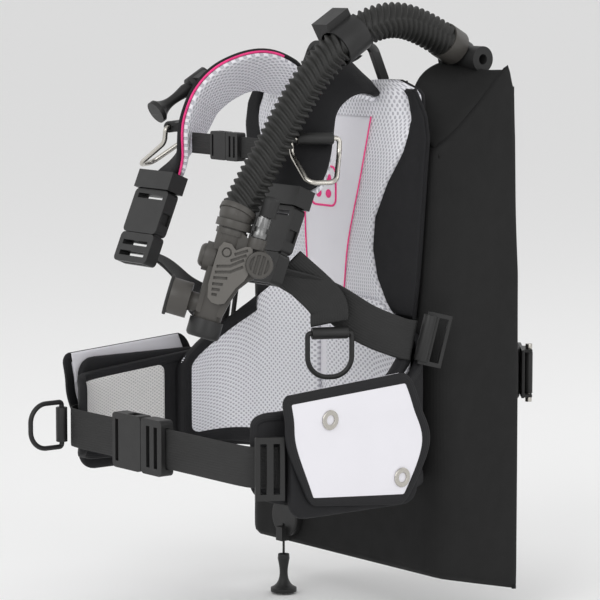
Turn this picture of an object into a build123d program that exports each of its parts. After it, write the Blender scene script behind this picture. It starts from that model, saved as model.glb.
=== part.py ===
"""Back-inflation buoyancy vest: harness, air cell, power inflator and integrated pockets.

Origin: centre of the tank band, on the axis of the tank.  +Z is up, the diver stands at -Y
and the diver's left is +X.  Millimetres throughout.
"""
from build123d import *
from math import tan, radians
import os

os.makedirs("parts", exist_ok=True)

# Tank and cradle
tank_radius = 92.0
band_height = 50.0
band_thickness = 2.5
plate_thickness = 3.5
plate_height = 290.0
spine_width = 56.0
spine_back = -100.0          # flat rear of the cradle's spine, where the air cell lies
pad_grip_height = 50.0
buckle_azimuth = 52.0        # where the cam buckle sits round the tank

# Air cell
wing_half_width = 150.0
wing_thickness = 12.0
wing_back = -6.0             # free edge of each lobe at the bottom
wing_back_top = -13.0        # and at the top
wing_top = 313.0
wing_bottom = -199.0
wing_front = -112.0          # face against the back pad
wing_corner = 13.0

# Back pad
pad_front = -127.0
panel_front = -120.0

# Straps and webbing
strap_width = 50.0
strap_thickness = 13.0
belt_width = 38.0
belt_thickness = 2.4
belt_y = -330.0
belt_z = -43.0
chest_width = 20.0
chest_y = -232.0
chest_z = 234.0

# Side-release buckles: width, thickness, socket length, plug length
belt_buckle = (53.0, 14.0, 46.0, 34.0)
chest_buckle = (27.0, 10.0, 24.0, 19.0)
shoulder_buckle = (54.0, 13.0, 44.0, 30.0)
buckle_gap = 0.5
buckle_wall = 2.0

# Rings
ring_wire = 2.4
ring_play = 0.3

# Hose and inflator
hose_diameter = 31.0
hose_route = [
    (86, -48, 331), (90, -88, 351), (95, -136, 356), (95, -181, 337), (98, -220, 306),
    (101, -247, 275), (104, -270, 244), (108, -296, 213), (110, -317, 183),
]

# Waist pockets
pocket_inner = 162.4
pocket_outer = 174.0
flap_outer = 178.0
flap_hinge = (163.0, 25.5)   # X and Z of the flap's hinge line
flap_welt = 2.4
flap_length = 145.0


def write(piece, name):
    """Label one finished piece and write it as a STEP file."""
    piece.part.label = name
    export_step(piece.part, f"parts/{name}.step")


def twin_of(piece):
    """The same piece on the diver's other side."""
    with BuildPart() as twin:
        mirror(piece.part, about=Plane.YZ)
    return twin


def write_pair(piece, name):
    """Write a left piece and its mirror image on the right."""
    write(piece, f"left_{name}")
    write(twin_of(piece), f"right_{name}")


def both_sides(piece):
    """A left piece and its mirror image as one part, for fixed pieces that come in twos."""
    with BuildPart() as both:
        add(piece.part)
        mirror(piece.part, about=Plane.YZ)
    return both


def ribbon(stations, width, thickness):
    """A strap through stations, each a centre and the way its outer face looks."""
    centres = [Vector(centre) for centre, outward in stations]
    with BuildPart() as strap:
        for index, (centre, outward) in enumerate(stations):
            before = centres[max(index - 1, 0)]
            after = centres[min(index + 1, len(centres) - 1)]
            along = (after - before).normalized()
            across = along.cross(Vector(outward)).normalized()
            with BuildSketch(Plane(origin=centre, x_dir=across, z_dir=along)):
                Rectangle(width, thickness)
        loft(ruled=True)
    return strap


def clear_of(piece, *neighbours):
    """The piece with the room that its neighbours take cut away."""
    with BuildPart() as cleared:
        add(piece.part)
        for neighbour in neighbours:
            add(neighbour.part, mode=Mode.SUBTRACT)
    return cleared


def side_outline(piece, points, reach=400.0):
    """Keep only what lies inside a closed outline of (y, z) points."""
    with BuildPart() as trimmed:
        add(piece.part)
        with BuildSketch(Plane.YZ.offset(-reach)):
            with BuildLine():
                Polyline(*points, close=True)
            make_face()
        extrude(amount=2 * reach, mode=Mode.INTERSECT)
    return trimmed


# ---------------------------------------------------------------- tank band and cradle

band_outer = tank_radius + band_thickness
plate_outer = band_outer + plate_thickness

with BuildPart() as tank_band:
    with BuildSketch(Plane.XY.offset(-band_height / 2)):
        Circle(band_outer)
        Circle(tank_radius, mode=Mode.SUBTRACT)
    extrude(amount=band_height)
write(tank_band, "tank_band")

with BuildPart() as backplate:
    with BuildSketch(Plane.XY.offset(-plate_height / 2)):
        Circle(plate_outer)
        with Locations((0, -plate_outer)):
            Rectangle(150, 60, mode=Mode.INTERSECT)
        with Locations((0, spine_back + 5)):
            Rectangle(spine_width, 10)
        Circle(band_outer, mode=Mode.SUBTRACT)
    extrude(amount=plate_height)
    # Upright slots that the tank band is threaded through, and lightening windows
    with Locations((-50, -80, 0), (50, -80, 0)):
        Box(7, 60, band_height + 6, mode=Mode.SUBTRACT)
    with Locations((0, -95, 100), (0, -95, -100)):
        Box(26, 30, 50, mode=Mode.SUBTRACT)
write(backplate, "backplate")

# Two rubber faces that keep the tank from turning, above and below the band
with BuildPart() as tank_grip_pads:
    for bottom in (band_height / 2 + 8, -band_height / 2 - 8 - pad_grip_height):
        with BuildSketch(Plane.XY.offset(bottom)):
            Circle(band_outer)
            Circle(tank_radius + 0.3, mode=Mode.SUBTRACT)
            with Locations((0, -band_outer)):
                Rectangle(100, 36, mode=Mode.INTERSECT)
        extrude(amount=pad_grip_height)
write(tank_grip_pads, "tank_grip_pads")

# ---------------------------------------------------------------- cam buckle
# Its own directions: X out from the tank, Y round the tank, Z up

cam_plane = Plane(origin=(0, 0, 0), z_dir=(0, 0, 1), x_dir=Vector(1, 0, 0).rotate(Axis.Z, buckle_azimuth))
cam_half = 24.0
cam_base = band_outer + 0.1
cam_floor = cam_base + 3.0
cam_cheek = 3.0
cam_pivot = (102.4, -17.0)
cam_pin_radius = 2.0

with BuildPart(cam_plane) as cam_buckle_frame:
    with Locations((cam_base + 1.5, 0, 0)):
        Box(3, 60, 2 * cam_half)
    for side in (-1, 1):
        with Locations((cam_floor + 4, -10, side * (cam_half - cam_cheek / 2))):
            Box(8, 30, cam_cheek)
    # Windows where the webbing turns in and out
    for window in (-24, 22):
        with Locations((cam_base + 1.5, window, 0)):
            Box(8, 5, 2 * cam_half - 10, mode=Mode.SUBTRACT)
    with Locations((cam_pivot[0], cam_pivot[1], 0)):
        Cylinder(cam_pin_radius, 2 * cam_half + 10, mode=Mode.SUBTRACT)
write(cam_buckle_frame, "cam_buckle_frame")

with BuildPart(cam_plane) as cam_buckle_pin:
    with Locations((cam_pivot[0], cam_pivot[1], 0)):
        Cylinder(cam_pin_radius, 2 * cam_half)
    for side in (-1, 1):
        with Locations((cam_pivot[0], cam_pivot[1], side * (cam_half + 2.5))):
            Cylinder(3.4, 5)
write(cam_buckle_pin, "cam_buckle_pin")

lever_height = 2 * (cam_half - cam_cheek) - 1.0
with BuildPart(cam_plane) as cam_buckle_lever:
    with Locations((cam_pivot[0], cam_pivot[1], 0)):
        Cylinder(4.0, lever_height)
    with Locations((102.4, 5, 0)):
        Box(4, 44, lever_height)
    with Locations((102.4, 27, 0)):
        Cylinder(2.0, lever_height)
    with Locations((102.4, 4, 0)):
        Box(6, 16, lever_height - 16, mode=Mode.SUBTRACT)
    with Locations((cam_pivot[0], cam_pivot[1], 0)):
        Cylinder(cam_pin_radius + 0.05, lever_height + 2, mode=Mode.SUBTRACT)
write(cam_buckle_lever, "cam_buckle_lever")

# Steel bail that locks over the lever
bail_plane = Plane(origin=cam_plane.from_local_coords((104.4, 8, 0)), x_dir=(0, 0, 1), z_dir=cam_plane.x_dir)
with BuildPart() as cam_buckle_bail:
    with BuildSketch(bail_plane):
        RectangleRounded(36, 30, 5)
        RectangleRounded(31, 25, 3, mode=Mode.SUBTRACT)
    extrude(amount=2.4)
    fillet(cam_buckle_bail.faces().sort_by(Axis((0, 0, 0), tuple(cam_plane.x_dir)))[-1].edges(), 0.9)
write(cam_buckle_bail, "cam_buckle_bail")

# ---------------------------------------------------------------- air cell

cell_centre = wing_front + wing_thickness / 2
lobe_centre = wing_half_width - wing_thickness / 2
wing_outline = [
    (wing_back, wing_bottom), (wing_back, 60), (wing_back_top, wing_top - 10), (wing_back_top - 7, wing_top),
    (-122, 226), (-122, -174), (-100, -178),
]
with BuildPart() as wing_band:
    with BuildSketch(Plane.XY.offset(-210)):
        with BuildLine():
            FilletPolyline((lobe_centre, wing_back), (lobe_centre, cell_centre), (-lobe_centre, cell_centre),
                           (-lobe_centre, wing_back), radius=wing_corner)
        trace(line_width=wing_thickness)
    extrude(amount=540)
wing = side_outline(wing_band, wing_outline)
write(wing, "wing")

# ---------------------------------------------------------------- back pad, side panels and yoke


def flat_panel(outline, rear, front):
    """A panel drawn from the front as (x, z) points, between two depths."""
    with BuildPart() as panel:
        with BuildSketch(Plane.XZ.offset(-rear)):
            with BuildLine():
                Polyline(*outline, close=True)
            make_face()
        extrude(amount=rear - front)
    return panel


pad_half = [
    (0, 286), (52, 297), (100, 300), (121, 284), (124, 262), (108, 230), (84, 200), (66, 165), (62, 135),
    (70, 108), (84, 86), (97, 74), (97, -76), (0, -82),
]
pad_outline = pad_half + [(-x, z) for x, z in reversed(pad_half[1:-1])]
back_pad = flat_panel(pad_outline, wing_front, pad_front)
write(back_pad, "back_pad")

side_half = [
    (121.3, 284), (124.3, 262), (108.3, 230), (84.3, 200), (66.3, 165), (62.3, 135), (70.3, 108), (84.3, 86),
    (97.3, 74.3), (122, 73), (131, 150), (136, 205), (141, 245), (134, 275),
]
left_side_panel = flat_panel(side_half, wing_front, panel_front)
write(both_sides(left_side_panel), "side_panels")

# Fabric yoke behind the top of the pad, which carries both straps
yoke_outline = [(-96, 247), (96, 247), (100, 296), (52, 294), (0, 284), (-52, 294), (-100, 296)]
yoke = flat_panel(yoke_outline, spine_back, wing_front)
write(yoke, "yoke")

with BuildPart() as carry_handle:
    with BuildSketch(Plane.XZ.offset(100.5)):
        with BuildLine():
            FilletPolyline((-62, 296), (-44, 328), (44, 328), (62, 296), radius=14)
        trace(line_width=5)
    extrude(amount=10)
write(carry_handle, "carry_handle")

# ---------------------------------------------------------------- shoulder straps

strap_stations = [
    ((58, -118, 288), (0.35, 0.60, 0.70)),
    ((66, -155, 302), (0.75, 0.10, 0.65)),
    ((74, -188, 294), (0.86, -0.15, 0.45)),
    ((82, -210, 275), (0.90, -0.32, 0.30)),
    ((89, -221, 247), (0.86, -0.48, 0.12)),
    ((95, -231, 218), (0.60, -0.75, 0.20)),
    ((99, -249, 194), (0.10, -0.90, 0.42)),
]
left_shoulder_strap = clear_of(ribbon(strap_stations, strap_width, strap_thickness), back_pad, yoke)
write_pair(left_shoulder_strap, "shoulder_strap")

# The shoulder buckle leans forward below the strap.  X runs down it, Y across, Z outwards
shoulder_top = Vector(99, -256, 186)
shoulder_down = Vector(0, -0.39, -0.92).normalized()
shoulder_out = Vector(0, -0.92, 0.39)
shoulder_mouth = shoulder_top + shoulder_down * shoulder_buckle[2]
shoulder_plane = Plane(origin=shoulder_mouth, x_dir=shoulder_down, z_dir=shoulder_out)

with BuildPart(Plane(origin=shoulder_top, x_dir=shoulder_down, z_dir=shoulder_out)) as left_cuff:
    with Locations((-9.6, 0, 0)):
        Box(18, strap_width + 6, strap_thickness + 6)
        Box(20, strap_width + 1, strap_thickness + 1, mode=Mode.SUBTRACT)
left_cuff = clear_of(left_cuff, left_shoulder_strap)
write(both_sides(left_cuff), "strap_cuffs")

# ---------------------------------------------------------------- side-release buckles
# X leaves the socket's mouth towards the plug, Y is across the webbing


def buckle_socket(plane, size):
    """The half that stays: a box open at its mouth and at both sides, with a bar at its tail."""
    width, thickness, length, plug_length = size
    depth = length * 0.62
    with BuildPart(plane) as socket:
        with Locations((-length / 2, 0, 0)):
            Box(length, width, thickness)
        fillet(socket.edges().filter_by(Axis((0, 0, 0), tuple(plane.z_dir))), width * 0.09)
        with Locations((-depth / 2, 0, 0)):
            Box(depth, width - 2 * buckle_wall, thickness - 2 * buckle_wall, mode=Mode.SUBTRACT)
        # Finger openings at both sides, where the prongs are squeezed
        with Locations((-depth * 0.62, 0, 0)):
            Box(depth * 0.42, width + 2, thickness - 2 * buckle_wall, mode=Mode.SUBTRACT)
        # Slot that leaves the bar for the webbing
        with Locations((-length * 0.84, 0, 0)):
            Box(length * 0.11, width * 0.76, thickness + 2, mode=Mode.SUBTRACT)
    return socket


def buckle_plug(plane, size):
    """The half that slides out: two prongs, and a tunnel that its webbing runs through."""
    width, thickness, length, plug_length = size
    reach = length * 0.56
    prong = width * 0.13
    inner = thickness - 2 * buckle_wall - 2 * buckle_gap
    with BuildPart(plane) as plug:
        with Locations(((plug_length + buckle_gap) / 2, 0, 0)):
            Box(plug_length - buckle_gap, width, thickness)
        fillet(plug.edges().filter_by(Axis((0, 0, 0), tuple(plane.z_dir))), width * 0.09)
        for side in (-1, 1):
            with Locations((-reach / 2 + 1, side * (width / 2 - buckle_wall - buckle_gap - prong / 2), 0)):
                Box(reach + 2, prong, inner)
        tunnel = width * 0.74
        with Locations((plug_length / 2, 0, 0)):
            Box(plug_length + 2, tunnel, 3.8, mode=Mode.SUBTRACT)
        # Openings above and below the webbing leave two bars
        for window in (0.36, 0.72):
            with Locations((plug_length * window, 0, 0)):
                Box(plug_length * 0.16, tunnel, thickness + 2, mode=Mode.SUBTRACT)
    return plug


write_pair(buckle_socket(shoulder_plane, shoulder_buckle), "shoulder_socket")
write_pair(buckle_plug(shoulder_plane, shoulder_buckle), "shoulder_plug")

belt_mouth = -16.0
belt_plane = Plane(origin=(belt_mouth, belt_y, belt_z), x_dir=(1, 0, 0), z_dir=(0, -1, 0))
write(buckle_socket(belt_plane, belt_buckle), "waist_socket")
write(buckle_plug(belt_plane, belt_buckle), "waist_plug")

chest_mouth = -15.0
chest_plane = Plane(origin=(chest_mouth, chest_y, chest_z), x_dir=(1, 0, 0), z_dir=(0, -1, 0))
write(buckle_socket(chest_plane, chest_buckle), "chest_socket")
write(buckle_plug(chest_plane, chest_buckle), "chest_plug")

# ---------------------------------------------------------------- webbing

lower_stations = [
    ((101, -267, 125), (0.30, -0.30, -0.90)),
    ((118, -225, 104), (0.80, -0.35, -0.30)),
    ((135, -190, 77), (0.90, -0.35, 0.00)),
    ((146, -158, 62), (0.90, -0.35, 0.10)),
    ((151, -141.5, 57.5), (0.90, -0.35, 0.10)),
]
left_lower_webbing = ribbon(lower_stations, belt_width, belt_thickness)
write(both_sides(left_lower_webbing), "lower_webbing")

# Roller and frame that the lower webbing turns round, one each side
roller_plane = Plane(origin=(160, -126.5, 58.5), x_dir=Vector(0.35, 0.90, -0.24), z_dir=Vector(0.93, -0.36, 0.0))
with BuildPart(roller_plane) as left_roller:
    with Locations((2, 0, 0)):
        Box(24, 50, 4)
    with Locations((6, 0, 0)):
        Box(9, 42, 6, mode=Mode.SUBTRACT)
    with Locations(Location((-7, 0, 0), (90, 0, 0))):
        Cylinder(6.5, 44)
write(both_sides(left_roller), "webbing_rollers")

ring_webbing_stations = [
    ((111, -261, 134), (0.85, -0.40, -0.30)),
    ((128, -229, 99), (0.90, -0.42, -0.10)),
    ((128, -224, 78), (0.90, -0.42, 0.00)),
]
ring_webbing = clear_of(ribbon(ring_webbing_stations, belt_width, belt_thickness), left_lower_webbing)
write(ring_webbing, "ring_webbing")

belt_front = 146.0
plug_reach = 31.0            # the belt starts this far into the plug's tunnel, clear of its prongs
with BuildPart() as waist_webbing:
    with BuildSketch(Plane.XY.offset(belt_z - belt_width / 2)):
        with BuildLine():
            FilletPolyline((belt_mouth + plug_reach, belt_y), (belt_front, belt_y), (163, -305), radius=14)
        trace(line_width=belt_thickness)
        with BuildLine():
            FilletPolyline((belt_mouth - belt_buckle[2], belt_y), (-belt_front, belt_y), (-163, -305), radius=14)
        trace(line_width=belt_thickness)
    extrude(amount=belt_width)
write(waist_webbing, "waist_webbing")

chest_end = 74.0
chest_plug_reach = 18.4
with BuildPart() as chest_webbing:
    with BuildSketch(Plane.XY.offset(chest_z - chest_width / 2 + 0.5)):
        for start, end in ((chest_mouth + chest_plug_reach, chest_end), (-chest_end, chest_mouth - chest_buckle[2])):
            with Locations(((start + end) / 2, chest_y)):
                Rectangle(end - start, 2.0)
    extrude(amount=chest_width - 1)
write(chest_webbing, "chest_webbing")

# ---------------------------------------------------------------- cummerbund and pockets

cummerbund_route = [(98, -117), (158, -117), (158, -285), (151, -313), (134, -321)]
cummerbund_outline = [
    (-340, 4), (-160, 20), (-138, 38), (-112, 66), (-100, 66), (-100, -80), (-200, -84), (-300, -80), (-340, -72),
]
with BuildPart() as cummerbund_band:
    with BuildSketch(Plane.XY.offset(-100)):
        with BuildLine():
            FilletPolyline(*cummerbund_route, radius=[55, 18, 9])
        trace(line_width=8)
    extrude(amount=200)
write_pair(side_outline(cummerbund_band, cummerbund_outline), "cummerbund")

pocket_length = 150.0
pocket_middle_y = -228.0
pocket_top = 21.0
pocket_bottom = -92.0
with BuildPart() as left_pocket:
    with Locations(((pocket_inner + pocket_outer) / 2, pocket_middle_y, (pocket_top + pocket_bottom) / 2)):
        Box(pocket_outer - pocket_inner, pocket_length, pocket_top - pocket_bottom)
    fillet(left_pocket.edges().filter_by(Axis.X).group_by(Axis.Z)[0], 18)
    # The pouch itself, open at the top
    with Locations(((pocket_inner + pocket_outer) / 2, pocket_middle_y, pocket_top)):
        Box(7.6, pocket_length - 12, 200, mode=Mode.SUBTRACT)
    with Locations(((pocket_inner + pocket_outer) / 2, pocket_middle_y, pocket_bottom + 13)):
        Box(8, pocket_length - 12, 22)
write_pair(left_pocket, "pocket")

grommet_spots = [(-263, -2), (-178, -64)]
flap_outline = [(-312, 19), (-163, 27.5), (-147, -42), (-166, -81), (-283, -73), (-301, -50), (-306, -20)]
with BuildPart() as left_flap:
    with BuildSketch(Plane.YZ.offset(pocket_outer + 0.8)):
        with BuildLine():
            Polyline(*flap_outline, close=True)
        make_face()
    extrude(amount=flap_outer - pocket_outer - 0.8)
    # Top of the flap, with the round welt along its sewn edge that it turns on
    with BuildSketch(Plane.XZ.offset(163)):
        with Locations(((flap_hinge[0] + flap_outer) / 2, 25.5)):
            Rectangle(flap_outer - flap_hinge[0], 4)
        with Locations(flap_hinge):
            Circle(flap_welt)
    extrude(amount=flap_length)
    for y, z in grommet_spots:
        with Locations(Location((flap_outer, y, z), (0, 90, 0))):
            Cylinder(6.0, 20, mode=Mode.SUBTRACT)
write_pair(left_flap, "flap")

# Eyelets set in the flap: a tube through the cloth under a round flange
eyelet_bore = 4.6
eyelet_tube = 6.0
eyelet_flange = 9.2
with BuildPart() as left_grommets:
    for y, z in grommet_spots:
        with Locations(Location(((pocket_outer + 0.8 + flap_outer) / 2, y, z), (0, 90, 0))):
            Cylinder(eyelet_tube, flap_outer - pocket_outer - 0.8)
        with Locations(Location((flap_outer + 0.7, y, z), (0, 90, 0))):
            Cylinder(eyelet_flange, 1.4)
    fillet(left_grommets.faces().sort_by(Axis.X)[-2:].edges(), 1.0)
    for y, z in grommet_spots:
        with Locations(Location((flap_outer, y, z), (0, 90, 0))):
            Cylinder(eyelet_bore, 20, mode=Mode.SUBTRACT)
write_pair(left_grommets, "grommets")

ladder_plane = Plane(origin=(162.5, -320, belt_z), x_dir=Vector(0.50, 0.866, 0), z_dir=Vector(0.866, -0.50, 0))
with BuildPart(ladder_plane) as waist_ladder_lock:
    Box(27, 58, 5)
    for window in (-6, 6):
        with Locations((window, 0, 0)):
            Box(6, 46, 8, mode=Mode.SUBTRACT)
write(waist_ladder_lock, "waist_ladder_lock")

# ---------------------------------------------------------------- rings
# X along the ring's straight bar, Y up, Z out from the strap


def ring(plane, route, radii):
    """A closed ring of round wire; its first side is the bar that it swings on."""
    with BuildPart() as loop:
        with BuildLine(plane) as path:
            FilletPolyline(*route, radius=radii, close=True)
        start = path.wires()[0] @ 0
        with BuildSketch(Plane(origin=start, z_dir=path.wires()[0] % 0)):
            Circle(ring_wire)
        sweep(path=path.wires()[0])
    return loop


def keeper(plane, length, back):
    """A webbing fold round a ring's bar, and the block that holds it to the strap."""
    with BuildPart(plane) as fold:
        with Locations(Location((0, 0, 0), (0, 90, 0))):
            Cylinder(ring_wire + 3.2, length)
        with Locations((0, 0, -back / 2)):
            Box(length, 9, back)
        with Locations(Location((0, 0, 0), (0, 90, 0))):
            Cylinder(ring_wire + ring_play, length + 2, mode=Mode.SUBTRACT)
    return fold


shoulder_ring_plane = Plane(origin=(109, -226, 248), x_dir=(0.46, 0.888, 0), z_dir=(0.888, -0.46, 0))
shoulder_ring_route = [(-23, 0, 0), (23, 0, 0), (22, -15, 2), (13, -38, 34), (-13, -38, 34), (-22, -15, 2)]
shoulder_ring = ring(shoulder_ring_plane, shoulder_ring_route, [4, 4, 12, 10, 10, 12])
write_pair(shoulder_ring, "shoulder_ring")
shoulder_keeper = clear_of(keeper(shoulder_ring_plane, 34, 13), left_shoulder_strap)

lower_ring_plane = Plane(origin=(127, -223, 69), x_dir=(0.423, 0.906, 0), z_dir=(0.906, -0.423, 0))
flat_ring_route = [(-21, 0, 0), (21, 0, 0), (21, -41, 0), (-21, -41, 0)]
write(ring(lower_ring_plane, flat_ring_route, [3, 3, 19, 19]), "lower_ring")
lower_keeper = keeper(lower_ring_plane, 34, 3)

hip_ring_plane = Plane(origin=(-153, -334, belt_z + 2), x_dir=(0, 0, 1), z_dir=(-1, 0, 0))
hip_ring_route = [(-22, 0, 0), (22, 0, 0), (22, -36, 0), (-22, -36, 0)]
write(ring(hip_ring_plane, hip_ring_route, [3, 3, 18, 18]), "hip_ring")
hip_keeper = keeper(hip_ring_plane, 34, 3)

with BuildPart() as ring_keepers:
    add(shoulder_keeper.part)
    mirror(shoulder_keeper.part, about=Plane.YZ)
    add(lower_keeper.part)
    add(hip_keeper.part)
write(ring_keepers, "ring_keepers")

# ---------------------------------------------------------------- hose

runs = [(Vector(b) - Vector(a)) for a, b in zip(hose_route, hose_route[1:])]
hose_radii = []
for before, after in zip(runs, runs[1:]):
    half_turn = radians(before.get_angle(after)) / 2
    hose_radii.append(0.45 * min(before.length, after.length) / tan(half_turn))
print("hose bend radii", [round(radius, 1) for radius in hose_radii])

with BuildPart() as hose:
    with BuildLine() as hose_line:
        FilletPolyline(*hose_route, radius=hose_radii)
    with BuildSketch(Plane(origin=hose_route[0], z_dir=runs[0])):
        Circle(hose_diameter / 2)
    sweep(path=hose_line.wires()[0])
write(hose, "hose")
hose_length = hose_line.wires()[0].length
swept_volume = 3.14159265 * (hose_diameter / 2) ** 2 * hose_length
print("hose length", round(hose_length, 1), "volume ratio", round(hose.part.volume / swept_volume, 4))

# Collars that clamp the hose's two ends
inflator_down = Vector(-0.0776, -0.2896, -0.9538).normalized()
inflator_plane = Plane(origin=hose_route[-1], x_dir=inflator_down, z_dir=(0.7821, -0.6111, 0.1219))
hose_end_plane = Plane(origin=hose_route[-1], z_dir=runs[-1])
elbow_plane = Plane(origin=hose_route[0], z_dir=runs[0])
with BuildPart() as hose_collars:
    with BuildSketch(elbow_plane.offset(-13)):
        Circle(hose_diameter / 2 + 2)
    extrude(amount=19)
    with BuildSketch(elbow_plane):
        Circle(hose_diameter / 2)
    extrude(amount=8, mode=Mode.SUBTRACT)
    with BuildSketch(hose_end_plane.offset(-5)):
        Circle(hose_diameter / 2 + 2)
        Circle(hose_diameter / 2, mode=Mode.SUBTRACT)
    extrude(amount=5)
write(hose_collars, "hose_collars")

# Elbow on the left lobe, with the round port of its pull-dump facing left
elbow_neck = elbow_plane.origin - runs[0].normalized() * 13
with BuildPart() as elbow:
    with Locations(Location((86, -24, 315), (0, 90, 0))):
        Cylinder(12.5, 52)
    with BuildSketch(Plane(origin=elbow_neck, z_dir=runs[0])):
        Circle(13)
    extrude(amount=-14)
    # Stem down into the air cell's shoulder
    with Locations((86, -24, 299)):
        Cylinder(9, 22)
    with Locations(Location((104, -24, 315), (0, 90, 0))):
        Cylinder(5, 17, mode=Mode.SUBTRACT)
write(elbow, "elbow")

# Strap that ties the hose to the shoulder
hose_wire = hose_line.wires()[0]
retainer_at = 0.40
retainer_plane = Plane(origin=hose_wire @ retainer_at, x_dir=(1, 0, 0), z_dir=hose_wire % retainer_at)
with BuildPart(retainer_plane) as hose_retainer:
    with Locations((-8, 13, 0)):
        Box(22, 26, 30)
    Cylinder(hose_diameter / 2 + 3.4, 30)
    Cylinder(hose_diameter / 2 + 1.6, 60, mode=Mode.SUBTRACT)
write(clear_of(hose_retainer, left_shoulder_strap), "hose_retainer")

# ---------------------------------------------------------------- inflator
# X runs down the handle from the hose, Y towards the valve's side, Z out of its face

tube_radius = 13.0
tube_start = 5.0
tube_end = 102.0
body_half_depth = 10.5       # of the flared part, on each side of the tube's axis
dome_station = 43.0          # inflate button, along the handle
bite_station = 86.5          # mouthpiece, along the handle
bite_stub_radius = 9.0
barrel_radius = 16.5
barrel_bore = 11.0
barrel_start = 20.0          # from the tube's axis
barrel_end = 38.0
connector_y = 24.6
connector_z = 8.0
cover_bottom = 10.6
cover_top = 15.5
slot_width = 2.6
slot_floor = 13.0
valve_centre = (38.5, 32.5)
valve_radius = 12.5
across = (90, 0, 0)          # turns a cylinder to lie along Y
lengthwise = (0, 90, 0)      # turns a cylinder to lie along X

flare_outline = [
    (14, -12), (14, 8), (21, 22), (25, 35), (33, 41), (46, 39), (54, 28), (65, 20), (76, 16.5), (94, 12.5), (94, -12),
]
cover_outline = [
    (27, -4), (27, 3), (31.5, 8.5), (26, 16), (24.6, 22), (31, 24), (40, 22), (50, 25), (56, 23), (64.5, 17.5),
    (74, 14), (80.5, 11.5), (83, 6), (82.7, 0), (79, -4.7), (67, -7.2), (45, -7.5), (33, -7),
]
cover_slots = [
    [(35.5, 8.2), (28.7, 19.0)],
    [(41.8, 6.2), (33.2, 19.0)],
    [(50.0, -4.5), (46.5, 7.3), (38.0, 18.0)],
    [(55.5, -4.5), (51.7, 8.7), (44.0, 18.8)],
    [(60.6, -4.5), (58.0, 8.0)],
    [(66.1, -4.0), (64.4, 5.6)],
    [(70.9, -3.1), (69.9, 4.2)],
    [(75.3, -2.0), (74.9, 2.8)],
]
emblem_centre = (35.5, 1.0)
emblem_radius = 4.6

with BuildPart(inflator_plane) as inflator_body:
    # Ball that turns the hose's line into the handle's
    Sphere(16)
    split(bisect_by=hose_end_plane, keep=Keep.TOP)
    with Locations(Location(((tube_start + tube_end) / 2, 0, 0), lengthwise)):
        Cylinder(tube_radius, tube_end - tube_start)
    with Locations(Location((9.5, 0, 0), lengthwise)):
        Cylinder(16.5, 7)
    with Locations(Location((17, 0, 0), lengthwise)):
        Cylinder(14.4, 5)
    with BuildSketch(inflator_plane.offset(-body_half_depth)):
        with BuildLine():
            FilletPolyline(*flare_outline, radius=2, close=True)
        make_face()
    extrude(amount=2 * body_half_depth)
    with Locations(Location((dome_station, -tube_radius, 0), across)):
        Cylinder(13.5, 10)
    with Locations(Location((bite_station, -barrel_start / 2, 0), across)):
        Cylinder(bite_stub_radius, barrel_start)
    with Locations(Location((20.9, connector_y, connector_z), lengthwise)):
        Cylinder(8.5, 9.8)
    # Deep enough for the inflate button at the end of its travel
    with Locations(Location((dome_station, -tube_radius, 0), across)):
        Cylinder(11.5, 12, mode=Mode.SUBTRACT)
write(inflator_body, "inflator_body")

with BuildPart(inflator_plane) as inflator_cover:
    with BuildSketch(inflator_plane.offset(cover_bottom)):
        with BuildLine():
            Polyline(*cover_outline, close=True)
        make_face()
    extrude(amount=cover_top - cover_bottom)
    with BuildSketch(inflator_plane.offset(slot_floor)):
        for slot in cover_slots:
            with BuildLine() as slot_line:
                Polyline(*slot)
            trace(slot_line.edges(), line_width=slot_width)
        with Locations(emblem_centre):
            Circle(emblem_radius)
            Circle(emblem_radius - 1.4, mode=Mode.SUBTRACT)
    extrude(amount=cover_top - slot_floor, mode=Mode.SUBTRACT)
    # Seat of the exhaust valve
    with Locations((*valve_centre, cover_top)):
        Cylinder(valve_radius + 0.2, 3 * cover_top, mode=Mode.SUBTRACT)
write(clear_of(inflator_cover, inflator_body), "inflator_cover")

with BuildPart(inflator_plane) as exhaust_valve:
    with BuildSketch(inflator_plane.offset(body_half_depth)):
        with Locations(valve_centre):
            Circle(valve_radius)
    extrude(amount=8)
    fillet(exhaust_valve.edges().sort_by(Axis(inflator_plane.origin, inflator_plane.z_dir))[-1], 1.6)
    # Recessed grille
    with BuildSketch(inflator_plane.offset(body_half_depth + 6.4)):
        with Locations(valve_centre):
            Circle(valve_radius - 3.4)
            for bar in (-5, 0, 5):
                with Locations((0, bar)):
                    Rectangle(2 * valve_radius, 1.8, mode=Mode.SUBTRACT)
    extrude(amount=1.6, mode=Mode.SUBTRACT)
write(exhaust_valve, "exhaust_valve")

with BuildPart(inflator_plane) as inflate_button:
    with Locations(Location((dome_station, -17.5, 0), across)):
        Cylinder(11.0, 11)
    fillet(inflate_button.faces().sort_by(Axis((0, 0, 0), tuple(inflator_plane.y_dir)))[0].edges(), 5)
write(inflate_button, "inflate_button")

with BuildPart(inflator_plane) as deflate_button:
    with Locations(Location((107.5, 0, 0), lengthwise)):
        Cylinder(15.5, 17)
    fillet(deflate_button.faces().sort_by(Axis((0, 0, 0), tuple(inflator_down)))[-1].edges(), 4)
    with Locations(Location((102.4, 0, 0), lengthwise)):
        Cylinder(tube_radius + 0.5, 7, mode=Mode.SUBTRACT)
write(deflate_button, "deflate_button")

with BuildPart(inflator_plane) as mouthpiece_barrel:
    with Locations(Location((bite_station, -(barrel_start + barrel_end) / 2, 0), across)):
        Cylinder(barrel_radius, barrel_end - barrel_start)
        Cylinder(barrel_bore, 30, mode=Mode.SUBTRACT)
    with Locations(Location((bite_station, -barrel_start - 1.5, 0), across)):
        Cylinder(barrel_radius, 3)
write(mouthpiece_barrel, "mouthpiece_barrel")

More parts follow.
